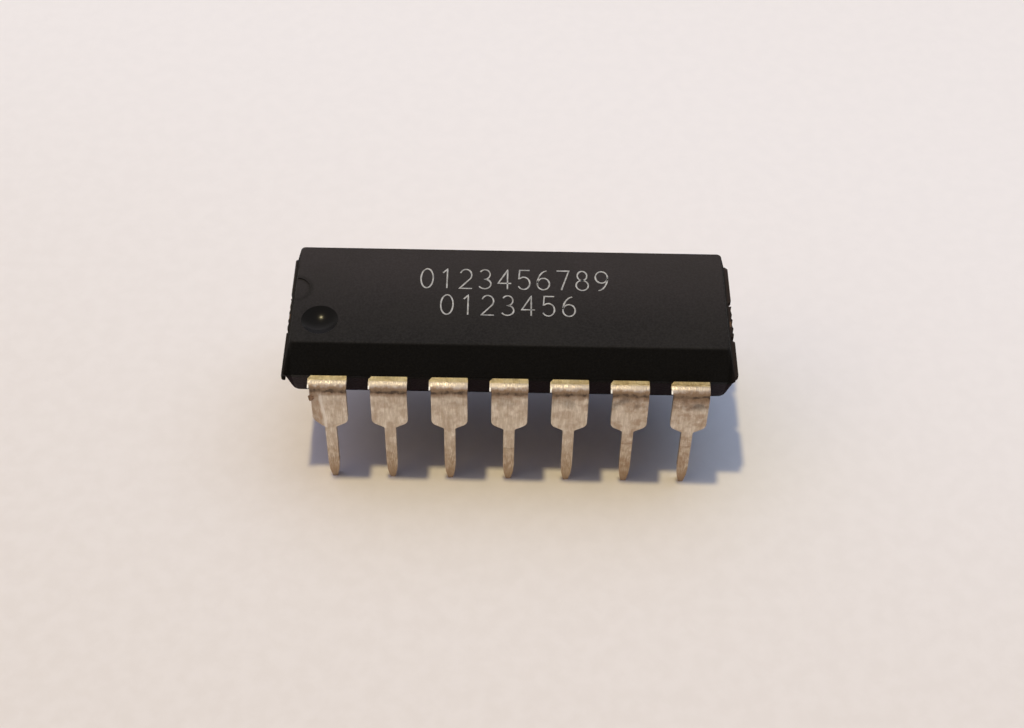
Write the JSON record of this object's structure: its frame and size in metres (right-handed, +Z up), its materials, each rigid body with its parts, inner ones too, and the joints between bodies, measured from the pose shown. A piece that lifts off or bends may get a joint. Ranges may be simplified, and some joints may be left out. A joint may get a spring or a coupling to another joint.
{
  "type": "dual in-line integrated circuit",
  "caption": "Black moulded dual in-line integrated circuit with splayed tinned leads, an index dimple, and a die, die pad and bond wires sealed inside.",
  "frame": {"origin": "on the surface that the lead tips stand on, under the middle of the body", "axes": "+X along the body away from the index end, +Y across the body towards leads 8 to 14, +Z up from the lead tips to the marked face"},
  "size_m": [0.0193, 0.0088, 0.0071],
  "materials": {
    "moulding_compound": "fine eroded mould grain, matt black epoxy",
    "tinned_lead": "dull tin plating with fine lengthwise streaks, brown on the stubs",
    "frame_copper": "bare copper alloy, silver plated where the die sits",
    "die_attach_epoxy": "silver filled epoxy",
    "silicon": "polished silicon with a passivated face",
    "gold_wire": "bright drawn gold"
  },
  "bodies": {
    "root": {"moulded_body": "moulding_compound", "lead_1": "tinned_lead", "lead_2": "tinned_lead", "lead_3": "tinned_lead", "lead_4": "tinned_lead", "lead_5": "tinned_lead", "lead_6": "tinned_lead", "lead_7": "tinned_lead", "lead_8": "tinned_lead", "lead_9": "tinned_lead", "lead_10": "tinned_lead", "lead_11": "tinned_lead", "lead_12": "tinned_lead", "lead_13": "tinned_lead", "lead_14": "tinned_lead", "die_pad": "frame_copper", "die_attach": "die_attach_epoxy", "die": "silicon", "bond_wire_1": "gold_wire", "bond_wire_2": "gold_wire", "bond_wire_3": "gold_wire", "bond_wire_4": "gold_wire", "bond_wire_5": "gold_wire", "bond_wire_6": "gold_wire", "bond_wire_7": "gold_wire", "bond_wire_8": "gold_wire", "bond_wire_9": "gold_wire", "bond_wire_10": "gold_wire", "bond_wire_11": "gold_wire", "bond_wire_12": "gold_wire", "bond_wire_13": "gold_wire", "bond_wire_14": "gold_wire"}
  },
  "joints": []
}
